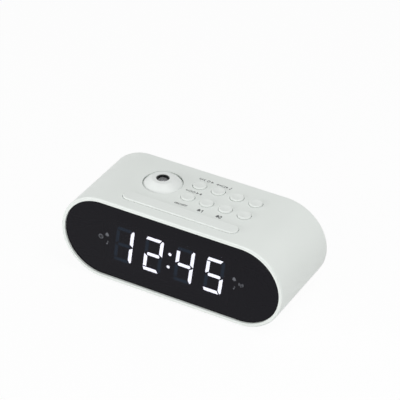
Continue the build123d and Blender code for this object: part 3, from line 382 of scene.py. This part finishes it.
def printed(name, sign, axes, origin, material):
    """Makes a sign a thin film on a flat face; axes are the sign's X, its Y and its normal."""
    outward = Vector(axes[2])
    columns = Matrix([(*Vector(axis), 0) for axis in axes] + [(0, 0, 0, 1)]).transposed()
    place = Matrix.Translation(Vector(origin) + outward * ink_lift) @ columns
    sign.transform(Matrix.Scale(mm, 4) @ place)
    mesh = bpy.data.meshes.new(name)
    sign.to_mesh(mesh)
    sign.free()
    mesh.materials.append(material)
    film = bpy.data.objects.new(name, mesh)
    scene.collection.objects.link(film)
    solid = film.modifiers.new("thickness", "SOLIDIFY")
    solid.thickness = ink_thickness * mm
    solid.offset = 1
    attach(film, "case")


def ink(name, color, uneven):
    """Screen ink: a flat colour that thins a little from place to place."""
    material, tree, shader = new_material(name, roughness=0.55)
    cover = spread(tree, noise(tree, per_metre=2600.0), 1 - uneven, 1 + uneven)
    tree.links.new(shade(tree, color, cover), shader.inputs["Base Color"])
    return material


pale_ink = ink("pale_ink", color=(0.105, 0.11, 0.126), uneven=0.15)
case_low, case_high = [Vector(corner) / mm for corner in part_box("housing")]
window_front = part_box("front_window")[0][1] / mm
window_middle = (0, window_front, (case_low.z + case_high.z) / 2)
facing_front = ((1, 0, 0), (0, 0, 1), (0, -1, 0))

# each sign with its place from the window's middle, and its size
left_signs = bmesh.new()
draw_dial(left_signs, x=-56.7, y=1.3, size=3.9)
draw_bell(left_signs, x=-51.5, y=4.5, size=3.4)
draw_note(left_signs, x=-51.3, y=-2.3, size=3.3)
printed("window_signs_left", left_signs, facing_front, window_middle, pale_ink)

right_signs = bmesh.new()
draw_bell(right_signs, x=50.9, y=3.1, size=3.4)
draw_mast(right_signs, x=56.3, y=-0.3, size=3.9)
draw_note(right_signs, x=51.1, y=-4.1, size=3.0)
printed("window_signs_right", right_signs, facing_front, window_middle, pale_ink)

# ---------------------------------------------------------------- display
# A black moulded block with epoxy light guides flush in its face; white diodes light them from
# the board. Unlit guides get a faint painted blue glow, standing in for stray light in the block.
mask_plastic = moulded(
    "mask_plastic",
    color=(0.012, 0.012, 0.013),
    roughness=0.7,
    grains_per_metre=2500,
    grain_height=0.00002,
)
dress(mask_plastic, "display_carrier", "digit_block")


def light_guide(name, base, glow, strength):
    """Milky epoxy, uneven where it scatters its diode's light; an unlit guide's glow is painted."""
    material, tree, shader = new_material(name, roughness=0.5, ior=1.54)
    shader.inputs["Base Color"].default_value = (*base, 1)
    cloud = spread(tree, noise(tree, per_metre=220.0), 0.86, 1.06)
    tree.links.new(shade(tree, glow, cloud), shader.inputs["Emission Color"])
    shader.inputs["Emission Strength"].default_value = strength
    return material


guide_lit = light_guide("guide_lit", (0.8, 0.82, 0.85), glow=(0.97, 0.98, 1.0), strength=38.0)
dress(guide_lit, "lit_segments")
# unlit guides: a painted blue glow, standing in for light that strays inside the block
guide_unlit_painted_glow = light_guide("guide_unlit_painted_glow", (0.03, 0.04, 0.06), glow=(0.25, 0.62, 1.0), strength=0.64)
dress(guide_unlit_painted_glow, "unlit_segments")

# ---------------------------------------------------------------- keys and snooze bar
# Separate white caps, a touch smoother than the case; the round ones have a dish for the fingertip.
# Each has a flange under the deck and stands on a push switch.
key_plastic = moulded(
    "key_plastic",
    color=(0.785, 0.82, 0.793),
    roughness=0.36,
    grains_per_metre=5000,
    grain_height=0.000012,
)
key_names = [f"key_{row}_{column}" for row in ("front", "back") for column in (1, 2, 3, 4)]
dress(key_plastic, "snooze_bar", *key_names)

# ---------------------------------------------------------------- signs on the deck
# Dark grey screen print beside the keys: ON/OFF at the radio's key, plain signs for sleep, display,
# beam and tuning, and a numbered bell at each of the two alarm keys.
dark_ink = ink("dark_ink", color=(0.10, 0.105, 0.108), uneven=0.12)
deck_middle = (0, 0, case_high.z)
facing_up = ((1, 0, 0), (0, 1, 0), (0, 0, 1))


def draw_letters(sign, text, x, y, height, line):
    """Capitals and figures, centred on a place, drawn with a round pen; line is its width."""
    strokes = {
        "O": [arc_points((0.36, 0.5), 0.36, 90, 450, 20)],
        "F": [[(0, 0), (0, 1), (0.55, 1)], [(0, 0.52), (0.45, 0.52)]],
        "N": [[(0, 0), (0, 1), (0.62, 0), (0.62, 1)]],
        "/": [[(0, -0.05), (0.42, 1.05)]],
        "1": [[(0.05, 0.78), (0.3, 1), (0.3, 0)]],
        "2": [[(0, 0.8), (0.12, 0.96), (0.38, 1), (0.55, 0.84), (0.5, 0.6), (0, 0), (0.58, 0)]],
    }
    widths = {letter: max(u for stroke in strokes[letter] for u, v in stroke) for letter in text}
    spacing = 0.3
    text_width = sum(widths[letter] for letter in text) + spacing * (len(text) - 1)
    left = x - height * text_width / 2
    for letter in text:
        for stroke in strokes[letter]:
            add_line(sign, [(left + height * u, y + height * (v - 0.5)) for u, v in stroke], line)
        left += height * (widths[letter] + spacing)


def draw_arrow(sign, x, y, size, direction):
    """A solid arrowhead that points left (-1) or right (1)."""
    tip = (x + direction * size * 0.45, y)
    heel_x = x - direction * size * 0.35
    half = direction * size * 0.5
    add_patch(sign, [tip, (heel_x, y + half), (heel_x, y - half)])


def draw_moon(sign, x, y, size):
    """A crescent moon, for sleep."""
    rim = arc_points((x, y), size * 0.5, 60, 300, 16)
    hollow = arc_points((x + size * 0.22, y), size * 0.42, 285, 75, 14)
    add_patch(sign, rim + hollow)


def draw_beam(sign, x, y, size):
    """A lamp that throws a widening beam on a wall."""
    add_disc(sign, (x - size * 0.85, y), size * 0.30)
    for side in (-1, 1):
        near_end = (x - size * 0.4, y + side * size * 0.14)
        far_end = (x + size * 0.6, y + side * size * 0.44)
        add_line(sign, [near_end, far_end], size * 0.2)
    wall_x = x + size * 0.98
    add_line(sign, [(wall_x, y + size * 0.44), (wall_x, y - size * 0.44)], size * 0.24)


# each sign with its place from the deck's middle, its size and, for an arrow, its direction
signs_by_keys = (
    (draw_mast, -7.9, 24.2, 2.9),
    (draw_moon, -4.7, 24.3, 2.3),
    (draw_dial, -1.8, 24.3, 2.6),
    (draw_arrow, 1.3, 24.2, 2.4, 1),
    (draw_arrow, 5.6, 23.9, 2.3, -1),
    (draw_beam, 9.4, 23.9, 2.1),
    (draw_arrow, 13.2, 23.9, 2.3, 1),
    (draw_note, 16.1, 23.9, 2.9),
    (draw_beam, -8.3, 6.8, 2.1),
    (draw_dial, -4.3, 6.8, 2.5),
    (draw_arrow, -1.3, 6.8, 2.2, 1),
    (draw_bell, 1.3, 6.8, 2.2),
)
deck_signs = bmesh.new()
for draw, *values in signs_by_keys:
    draw(deck_signs, *values)
draw_letters(deck_signs, "ON/OFF", x=-4.7, y=-11.3, height=1.9, line=0.4)
for number, bell_x in (("1", 9.9), ("2", 24.7)):
    draw_bell(deck_signs, x=bell_x, y=-11.4, size=3.2)
    draw_letters(deck_signs, number, x=bell_x + 2.3, y=-11.5, height=2.7, line=0.6)
printed("deck_signs", deck_signs, facing_up, deck_middle, dark_ink)

# ---------------------------------------------------------------- projector
# A hollow white ball in two halves, with a black barrel and a clear lens in its crown. It tilts
# in a greased nylon ring, which turns on a nylon socket; behind the lens a red diode lights a
# small slide.
ball_plastic = moulded(
    "ball_plastic",
    color=(0.79, 0.818, 0.80),
    roughness=0.42,
    grains_per_metre=5000,
    grain_height=0.000012,
)
dress(ball_plastic, "projector_ball", "projector_underside")
black_plastic = moulded(
    "black_plastic",
    color=(0.015, 0.015, 0.016),
    roughness=0.5,
    grains_per_metre=3500,
    grain_height=0.00002,
)
dress(black_plastic, "lens_barrel")
nylon = moulded(
    "greased_nylon",
    color=(0.10, 0.10, 0.11),
    roughness=0.3,
    grains_per_metre=1800,
    grain_height=0.00001,
)
dress(nylon, "projector_yoke", "projector_socket")

lens, lens_tree, lens_shader = new_material("lens_acrylic", roughness=0.02, ior=1.49)
lens_shader.inputs["Base Color"].default_value = (0.9, 0.93, 0.95, 1)
lens_shader.inputs["Transmission Weight"].default_value = 1.0
lens_polish = spread(lens_tree, noise(lens_tree, per_metre=400.0), 0.008, 0.03)
lens_tree.links.new(lens_polish, lens_shader.inputs["Roughness"])
dress(lens, "projector_lens")

slide, slide_tree, slide_shader = new_material("slide_glass", roughness=0.2, ior=1.52)
slide_shader.inputs["Transmission Weight"].default_value = 1.0
slide_tone = spread(slide_tree, noise(slide_tree, per_metre=900.0), 0.8, 1.2)
slide_color = shade(slide_tree, (0.3, 0.3, 0.32), slide_tone)
slide_tree.links.new(slide_color, slide_shader.inputs["Base Color"])
dress(slide, "time_slide")

lamp_epoxy, lamp_tree, lamp_shader = new_material("lamp_epoxy", roughness=0.12, ior=1.54)
lamp_shader.inputs["Base Color"].default_value = (0.75, 0.05, 0.04, 1)
lamp_tone = spread(lamp_tree, noise(lamp_tree, per_metre=700.0), 0.8, 1.2)
lamp_color = shade(lamp_tree, (1.0, 0.04, 0.03), lamp_tone)
lamp_tree.links.new(lamp_color, lamp_shader.inputs["Emission Color"])
lamp_shader.inputs["Emission Strength"].default_value = 8.0
dress(lamp_epoxy, "projector_lamp")

# ---------------------------------------------------------------- boards and wiring
# Four glass-fibre boards with green solder mask over the tracks, black moulded switches and
# components, and a flat grey ribbon with a rib for each wire.
def build_tracks():
    """Node group: a mask of fine square-cornered tracks, as on a circuit board."""
    tree = bpy.data.node_groups.new("board_tracks", "ShaderNodeTree")
    tree.interface.new_socket(name="Mask", in_out="OUTPUT", socket_type="NodeSocketFloat")
    result = tree.nodes.new("NodeGroupOutput")
    place = tree.nodes.new("ShaderNodeTexCoord")
    distances = []
    for feature in ("F1", "F2"):
        cells = tree.nodes.new("ShaderNodeTexVoronoi")
        cells.feature = feature
        cells.distance = "CHEBYCHEV"
        cells.inputs["Scale"].default_value = 320.0
        cells.inputs["Randomness"].default_value = 0.9
        tree.links.new(place.outputs["Object"], cells.inputs["Vector"])
        distances.append(cells.outputs["Distance"])
    border = calculate(tree, "SUBTRACT", distances[1], distances[0])
    tree.links.new(calculate(tree, "LESS_THAN", border, 0.1), result.inputs["Mask"])
    return tree


def mixed(tree, share, first, second):
    """A mix of two colours by a mask."""
    mix = tree.nodes.new("ShaderNodeMix")
    mix.data_type = "RGBA"
    mix.inputs["A"].default_value = (*first, 1)
    mix.inputs["B"].default_value = (*second, 1)
    tree.links.new(share, mix.inputs["Factor"])
    return mix.outputs["Result"]


board, board_tree, board_shader = new_material("solder_mask", roughness=0.32)
tracks = board_tree.nodes.new("ShaderNodeGroup")
tracks.node_tree = build_tracks()
between_tracks = (0.012, 0.10, 0.045)
over_tracks = (0.03, 0.19, 0.085)
board_colors = mixed(board_tree, tracks.outputs["Mask"], between_tracks, over_tracks)
board_tree.links.new(board_colors, board_shader.inputs["Base Color"])
raise_surface(board_tree, board_shader, tracks.outputs["Mask"], distance=0.00003)
dress(board, "display_board", "key_board", "main_board", "lamp_board")
dress(black_plastic, "tact_switches", "board_parts")


def along(tree, axis, start, end):
    """How far a point lies between two places on an axis, in metres, as 0 to 1 and beyond."""
    place = tree.nodes.new("ShaderNodeTexCoord")
    split = tree.nodes.new("ShaderNodeSeparateXYZ")
    tree.links.new(place.outputs["Object"], split.inputs[0])
    offset = calculate(tree, "SUBTRACT", split.outputs[axis], start)
    return calculate(tree, "DIVIDE", offset, end - start)


ribbon_low, ribbon_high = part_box("ribbon_cable")
ribbon_wires = 9
ribbon, ribbon_tree, ribbon_shader = new_material("ribbon_insulation", roughness=0.45)
ribbon_place = along(ribbon_tree, "X", ribbon_low[0], ribbon_high[0])
ribbon_turns = calculate(ribbon_tree, "MULTIPLY", ribbon_place, ribbon_wires * math.tau)
ribbon_wave = calculate(ribbon_tree, "COSINE", ribbon_turns, 0)
# the grooves between the wires are painted darker, as painted shade; the same wave raises the ribs
ribbon_grooves = calculate(ribbon_tree, "MULTIPLY", ribbon_wave, -0.12)
ribbon_relief_and_shade = calculate(ribbon_tree, "ADD", ribbon_grooves, 0.9)
ribbon_color = shade(ribbon_tree, (0.46, 0.47, 0.49), ribbon_relief_and_shade)
ribbon_tree.links.new(ribbon_color, ribbon_shader.inputs["Base Color"])
raise_surface(ribbon_tree, ribbon_shader, ribbon_relief_and_shade, distance=0.0003)
dress(ribbon, "ribbon_cable")

# ---------------------------------------------------------------- screws
# Zinc-plated self-tapping screws with a cross recess: pan heads in the back, countersunk ones in
# the base. The screws that the case hides keep the plain heads of the CAD model.
# Lengths are in millimetres; the recess is widest at the top of the head.
thread_radius = 1.0
thread_root_radius = 0.72
thread_pitch = 0.8
point_radius = 0.5
point_length = 0.5
thread_margin = 0.6
neck_height = 0.05
recess_arm = 1.25
recess_half_width = 0.27
recess_floor_arm = 0.5
recess_floor_half_width = 0.189
recess_depth = 0.85
recess_overshoot = 0.2

zinc, zinc_tree, zinc_shader = new_material("zinc_plating", roughness=0.3, metallic=1.0)
zinc_wear = noise(zinc_tree, per_metre=1500.0, detail=4.0)
zinc_tree.links.new(spread(zinc_tree, zinc_wear, 0.24, 0.42), zinc_shader.inputs["Roughness"])
zinc_color = shade(zinc_tree, (0.60, 0.605, 0.62), spread(zinc_tree, zinc_wear, 0.92, 1.04))
zinc_tree.links.new(zinc_color, zinc_shader.inputs["Base Color"])
raise_surface(zinc_tree, zinc_shader, zinc_wear, distance=0.00001)
dress(zinc, "display_screws", "key_board_screws", "socket_screws", "speaker_screws")
dress(zinc, "main_board_screws")


def solid_boxes(name, apart):
    """The boxes, in millimetres, of a node's solids, which lie at least this far apart."""
    boxes = []
    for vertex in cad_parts[name].data.vertices:
        point = vertex.co / mm
        near = [
            (low, high)
            for low, high in boxes
            if all(low[a] - apart < point[a] < high[a] + apart for a in range(3))
        ]
        if near:
            low, high = near[0]
            for a in range(3):
                low[a] = min(low[a], point[a])
                high[a] = max(high[a], point[a])
        else:
            boxes.append((point.copy(), point.copy()))
    return boxes


def turn_profile(solid, profile, place):
    """Turns (radius, height) points, first and last at radius 0, about a matrix's Z axis."""
    steps = 36
    rings = []
    for radius, height in profile:
        ring = []
        for step in range(steps if radius else 1):
            turn = math.tau * step / steps
            point = Vector((radius * math.cos(turn), radius * math.sin(turn), height))
            ring.append(solid.verts.new(place @ point))
        rings.append(ring)
    for lower, upper in zip(rings, rings[1:]):
        for step in range(steps):
            after = (step + 1) % steps
            corners = [
                lower[step % len(lower)],
                lower[after % len(lower)],
                upper[after % len(upper)],
                upper[step % len(upper)],
            ]
            solid.faces.new(list(dict.fromkeys(corners)))


def add_cross(solid, place):
    """Adds a tapered cross, a screwdriver's tip, from just above a head's top down into it."""
    rings = []
    for height, arm, half in (
        (recess_overshoot, recess_arm, recess_half_width),
        (-recess_depth, recess_floor_arm, recess_floor_half_width),
    ):
        ring = []
        for quarter in range(4):
            turn = place @ Matrix.Rotation(math.tau * quarter / 4, 4, "Z")
            for corner in ((arm, -half, height), (arm, half, height), (half, half, height)):
                ring.append(solid.verts.new(turn @ Vector(corner)))
        rings.append(ring)
    upper, lower = rings
    solid.faces.new(upper)
    solid.faces.new(lower[::-1])
    for step in range(len(upper)):
        after = (step + 1) % len(upper)
        solid.faces.new([upper[after], upper[step], lower[step], lower[after]])


def mesh_object(name, solid, material):
    """Links a finished bmesh, given in millimetres, to the scene as an object."""
    solid.transform(Matrix.Scale(mm, 4))
    mesh = bpy.data.meshes.new(name)
    bmesh.ops.recalc_face_normals(solid, faces=solid.faces)
    solid.to_mesh(mesh)
    solid.free()
    mesh.materials.append(material)
    made = bpy.data.objects.new(name, mesh)
    scene.collection.objects.link(made)
    return made


def recessed_screws(name, node, axis, outward, head):
    """Screws in place of a CAD node's: along an axis, 0 to 2, with heads outward, 1 or -1."""
    bodies = bmesh.new()
    crosses = bmesh.new()
    for low, high in solid_boxes(node, apart=1.5):
        middle = (low + high) / 2
        length = high[axis] - low[axis]
        middle[axis] = high[axis] if outward > 0 else low[axis]
        direction = Vector([outward if a == axis else 0 for a in range(3)])
        place = Matrix.Translation(middle) @ direction.to_track_quat("Z", "Y").to_matrix().to_4x4()
        neck = head[0][1] - neck_height
        thread = [(0, -length), (point_radius, -length)]
        for ridge in range(int((length + neck - thread_margin) / thread_pitch)):
            root = -length + point_length + ridge * thread_pitch
            thread.append((thread_root_radius, root))
            thread.append((thread_radius, root + thread_pitch * 0.4))
            thread.append((thread_root_radius, root + thread_pitch * 0.7))
        thread.append((thread_root_radius, neck))
        turn_profile(bodies, thread + head, place)
        add_cross(crosses, place)
    screws = mesh_object(name, bodies, zinc)
    cutter = mesh_object(name + "_cutter", crosses, zinc)
    cut = screws.modifiers.new("recess", "BOOLEAN")
    cut.operation = "DIFFERENCE"
    cut.solver = "EXACT"
    cut.object = cutter
    evaluated = screws.evaluated_get(bpy.context.evaluated_depsgraph_get())
    finished = bpy.data.meshes.new_from_object(evaluated)
    screws.modifiers.clear()
    screws.data = finished
    bpy.data.objects.remove(cutter)
    finished.shade_smooth()
    finished.set_sharp_from_angle(angle=math.radians(35))
    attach(screws, "case")
    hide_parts(node)


# profiles of the heads, as (radius, height) from the edge up to the top
pan_head = [(1.95, -1.3), (2.1, -1.15), (2.1, -0.62), (1.9, -0.28), (1.45, -0.08), (0.8, 0), (0, 0)]
recessed_screws("back_screws", "rear_cover_screws", axis=1, outward=1, head=pan_head)
flat_head = [(1.0, -1.1), (2.03, -0.05), (1.98, 0), (0, 0)]
recessed_screws("bottom_screws", "base_screws", axis=2, outward=-1, head=flat_head)

# ---------------------------------------------------------------- power inlet and cells
# A black inlet with a nickel-plated pin, and two backup cells in a plain printed sleeve, between
# nickel-plated contacts. The inlet's polarity sign is printed below it.
nickel, nickel_tree, nickel_shader = new_material("nickel_plating", roughness=0.25, metallic=1.0)
nickel_wear = noise(nickel_tree, per_metre=900.0, detail=3.0)
nickel_roughness = spread(nickel_tree, nickel_wear, 0.16, 0.34)
nickel_tree.links.new(nickel_roughness, nickel_shader.inputs["Roughness"])
nickel_color = shade(nickel_tree, (0.70, 0.68, 0.64), spread(nickel_tree, nickel_wear, 0.95, 1.04))
nickel_tree.links.new(nickel_color, nickel_shader.inputs["Base Color"])
dress(nickel, "battery_contacts", "jack_pin")
dress(black_plastic, "dc_jack")

cells_low, cells_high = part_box("battery_cells")
cells_length = cells_high[0] - cells_low[0]
# in metres: how far the sleeve leaves the steel can bare at each end
bare_end = 0.0016
sleeve_blue = (0.045, 0.06, 0.09)
bare_steel = (0.62, 0.61, 0.60)
sleeve, sleeve_tree, sleeve_shader = new_material("cell_sleeve", roughness=0.3)
cell_place = along(sleeve_tree, "X", (cells_low[0] + cells_high[0]) / 2, cells_high[0])
cell_end = calculate(sleeve_tree, "ABSOLUTE", cell_place, 0)
bare = calculate(sleeve_tree, "GREATER_THAN", cell_end, 1 - 2 * bare_end / cells_length)
cell_color = mixed(sleeve_tree, bare, sleeve_blue, bare_steel)
sleeve_tree.links.new(cell_color, sleeve_shader.inputs["Base Color"])
sleeve_tree.links.new(bare, sleeve_shader.inputs["Metallic"])
sleeve_sheen = spread(sleeve_tree, noise(sleeve_tree, per_metre=300.0), 0.24, 0.38)
sleeve_tree.links.new(sleeve_sheen, sleeve_shader.inputs["Roughness"])
dress(sleeve, "battery_cells")

jack_low, jack_high = [Vector(corner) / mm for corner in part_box("dc_jack")]
back_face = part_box("rear_cover")[1][1] / mm
facing_back = ((-1, 0, 0), (0, 0, 1), (0, 1, 0))
jack_middle = (jack_low + jack_high) / 2
polarity_drop = 8.5
polarity_place = (jack_middle.x, back_face, jack_middle.z - polarity_drop)
polarity_line = 0.3
polarity = bmesh.new()
# the pin, the sleeve round it, and a lead from each to a plus and a minus
add_disc(polarity, (0, 0), radius=0.45)
add_arc(polarity, (0, 0), radius=1.15, width=polarity_line, start=40, end=320)
for points in (
    [(-1.2, 0), (-2.6, 0)],
    [(-3.1, 0), (-4.5, 0)],
    [(0.5, 0), (2.6, 0)],
    [(3.1, 0), (4.5, 0)],
    [(3.8, -0.7), (3.8, 0.7)],
):
    add_line(polarity, points, polarity_line)
printed("polarity_sign", polarity, facing_back, polarity_place, dark_ink)

# ---------------------------------------------------------------- speaker
# A black pressed-steel basket, a paper-pulp cone with pressed rings and a bare ferrite magnet,
# behind the slots of the back cover.
basket = moulded(
    "basket_paint",
    color=(0.02, 0.02, 0.021),
    roughness=0.42,
    grains_per_metre=1400,
    grain_height=0.00002,
)
dress(basket, "speaker_frame")

speaker_low, speaker_high = [Vector(corner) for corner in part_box("speaker_frame")]
pulp, pulp_tree, pulp_shader = new_material("cone_paper", roughness=0.85)
pulp_place = pulp_tree.nodes.new("ShaderNodeTexCoord")
pulp_offset = pulp_tree.nodes.new("ShaderNodeVectorMath")
pulp_offset.operation = "SUBTRACT"
pulp_offset.inputs[1].default_value = (speaker_low + speaker_high) / 2
pulp_rings = pulp_tree.nodes.new("ShaderNodeTexWave")
pulp_rings.wave_type = "RINGS"
pulp_rings.rings_direction = "Y"
pulp_rings.inputs["Scale"].default_value = 90.0
pulp_tree.links.new(pulp_place.outputs["Object"], pulp_offset.inputs[0])
pulp_tree.links.new(pulp_offset.outputs["Vector"], pulp_rings.inputs["Vector"])
pulp_fibres = noise(pulp_tree, per_metre=2200.0, detail=5.0)
pulp_tone = spread(pulp_tree, pulp_fibres, 0.6, 1.5)
pulp_color = shade(pulp_tree, (0.035, 0.034, 0.032), pulp_tone)
pulp_tree.links.new(pulp_color, pulp_shader.inputs["Base Color"])
pulp_height = calculate(pulp_tree, "ADD", pulp_rings.outputs["Fac"], pulp_fibres)
raise_surface(pulp_tree, pulp_shader, pulp_height, distance=0.00012)
dress(pulp, "speaker_cone")

ferrite, ferrite_tree, ferrite_shader = new_material("sintered_ferrite", roughness=0.7)
ferrite_specks = noise(ferrite_tree, per_metre=1800.0, detail=6.0)
ferrite_tone = spread(ferrite_tree, ferrite_specks, 0.6, 1.5)
ferrite_color = shade(ferrite_tree, (0.05, 0.05, 0.055), ferrite_tone)
ferrite_tree.links.new(ferrite_color, ferrite_shader.inputs["Base Color"])
raise_surface(ferrite_tree, ferrite_shader, ferrite_specks, distance=0.00004)
dress(ferrite, "speaker_magnet")

# ---------------------------------------------------------------- feet
# Four discs die-cut from black rubber sheet and glued in shallow seats in the bottom. They keep
# the clock from sliding when a key is pressed.
rubber = moulded(
    "foot_rubber",
    color=(0.028, 0.028, 0.029),
    roughness=0.82,
    grains_per_metre=1200,
    grain_height=0.00006,
)
dress(rubber, "rubber_feet")
